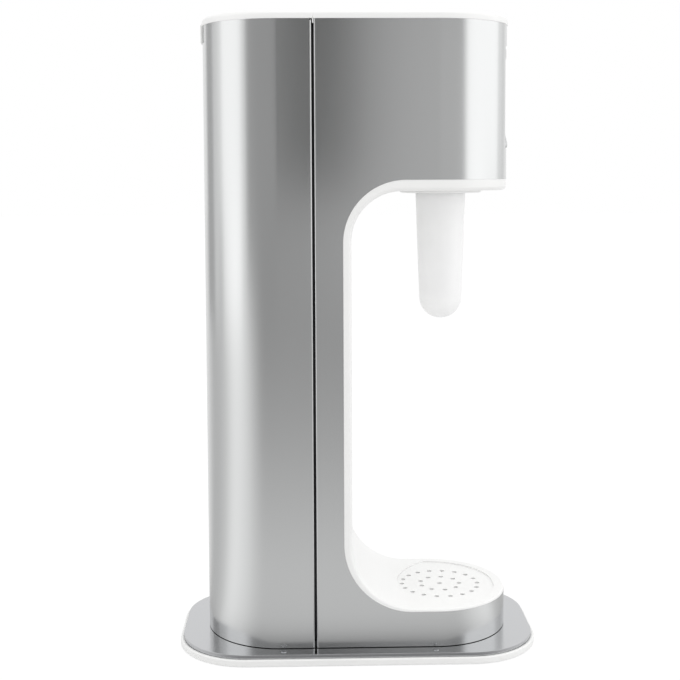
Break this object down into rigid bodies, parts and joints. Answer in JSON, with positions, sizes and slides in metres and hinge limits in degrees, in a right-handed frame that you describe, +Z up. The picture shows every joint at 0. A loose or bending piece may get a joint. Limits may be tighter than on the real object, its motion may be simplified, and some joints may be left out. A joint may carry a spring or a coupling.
{
  "type": "sparkling water maker",
  "caption": "Counter-top sparkling water maker: steel-skinned column and head, front pull lever, nozzle cap, bottle bay, drip tray, wide flat base and rear cover over a gas cylinder.",
  "frame": {"origin": "centre of the base on the counter", "axes": "+X towards the lever and the bottle, +Y to the machine's left, +Z up"},
  "size_m": [0.2446, 0.1326, 0.4269],
  "materials": {
    "brushed_steel": "satin",
    "satin_steel": "satin",
    "pressed_steel": "zinc plated",
    "screw_steel": "plain",
    "spring_steel": "plain",
    "white_moulding": "satin",
    "chassis_plastic": "matte",
    "milky_plastic": "translucent",
    "tube_plastic": "matte",
    "block_aluminium": "machined",
    "cylinder_aluminium": "satin",
    "brass": "machined",
    "seal_rubber": "matte",
    "foot_rubber": "matte"
  },
  "bodies": {
    "frame": {"base_moulding": "white_moulding", "base_plate": "satin_steel", "plate_screws": "screw_steel", "base_feet": "foot_rubber", "base_screws": "screw_steel", "chassis": "chassis_plastic", "front_skin": "brushed_steel", "inner_liner": "white_moulding", "top_cover": "white_moulding", "bottle_collar": "white_moulding", "carbonator_head": "chassis_plastic", "bottle_seal": "seal_rubber", "carbonation_tube": "tube_plastic", "relief_valve_body": "brass", "relief_spring": "spring_steel", "relief_cap": "brass", "gas_hose": "tube_plastic", "hose_nuts": "brass", "valve_block": "block_aluminium", "valve_gasket": "seal_rubber", "block_screws": "screw_steel", "plunger_seal": "seal_rubber", "plunger_spring": "spring_steel", "beam_pin": "screw_steel", "lever_pin": "screw_steel", "lever_bracket": "pressed_steel", "lever_spring": "spring_steel", "cylinder_cradle": "chassis_plastic"},
    "lever": {"lever_paddle": "brushed_steel", "lever_arm": "chassis_plastic"},
    "beam": {"actuator_beam": "pressed_steel"},
    "valve_plunger": {"plunger": "screw_steel"},
    "cylinder": {"gas_cylinder": "cylinder_aluminium", "cylinder_valve": "brass", "burst_plug": "screw_steel"},
    "cylinder_pin": {"cylinder_valve_pin": "screw_steel"},
    "rear_case": {"rear_cover": "white_moulding", "rear_skin": "brushed_steel"},
    "drip_tray": {"drip_cup": "white_moulding"},
    "drip_top": {"drip_grid": "white_moulding"},
    "cap": {"nozzle_cap": "milky_plastic"},
    "poppet": {"relief_poppet": "seal_rubber"}
  },
  "joints": [
    {"name": "lever_pull", "type": "hinge", "parent": "frame", "child": "lever", "pos_m": [0.094, 0, 0.402], "axis": [0, -1, 0], "range_deg": [0, 22], "stiffness_Nm_per_rad": 1.2, "springref_deg": -5.73},
    {"name": "beam_swing", "type": "hinge", "parent": "frame", "child": "beam", "pos_m": [-0.088, 0, 0.3957], "axis": [0, 1, 0], "range_deg": [0, 2.2]},
    {"name": "plunger_press", "type": "slide", "parent": "frame", "child": "valve_plunger", "axis": [0, 0, -1], "range_m": [0, 0.0011], "deforming": ["plunger_spring"]},
    {"name": "cylinder_turn", "type": "hinge", "parent": "frame", "child": "cylinder", "pos_m": [-0.06, 0, 0.35], "axis": [0, 0, 1], "range_deg": [0, 540]},
    {"name": "cylinder_pin_press", "type": "slide", "parent": "cylinder", "child": "cylinder_pin", "axis": [0, 0, -1], "range_m": [0, 0.0011]},
    {"name": "rear_case_tilt", "type": "hinge", "parent": "frame", "child": "rear_case", "pos_m": [-0.1037, 0, 0.008], "axis": [0, -1, 0], "range_deg": [0, 35]},
    {"name": "drip_tray_lift", "type": "slide", "parent": "frame", "child": "drip_tray", "axis": [0, 0, 1], "range_m": [0, 0.03]},
    {"name": "drip_top_lift", "type": "slide", "parent": "drip_tray", "child": "drip_top", "axis": [0, 0, 1], "range_m": [0, 0.025]},
    {"name": "cap_pull", "type": "slide", "parent": "frame", "child": "cap", "axis": [0, 0, -1], "range_m": [0, 0.09]},
    {"name": "poppet_lift", "type": "slide", "parent": "frame", "child": "poppet", "axis": [0, 0, 1], "range_m": [0, 0.0015], "stiffness_N_per_m": 300, "springref_m": -0.001, "deforming": ["relief_spring"]}
  ],
  "couplings": [
    {"joint": "beam_swing", "follows": "lever_pull", "ratio": 0.098},
    {"joint": "plunger_press", "follows": "lever_pull", "m_per_rad": 0.002745},
    {"joint": "cylinder_pin_press", "follows": "lever_pull", "m_per_rad": 0.002745}
  ]
}
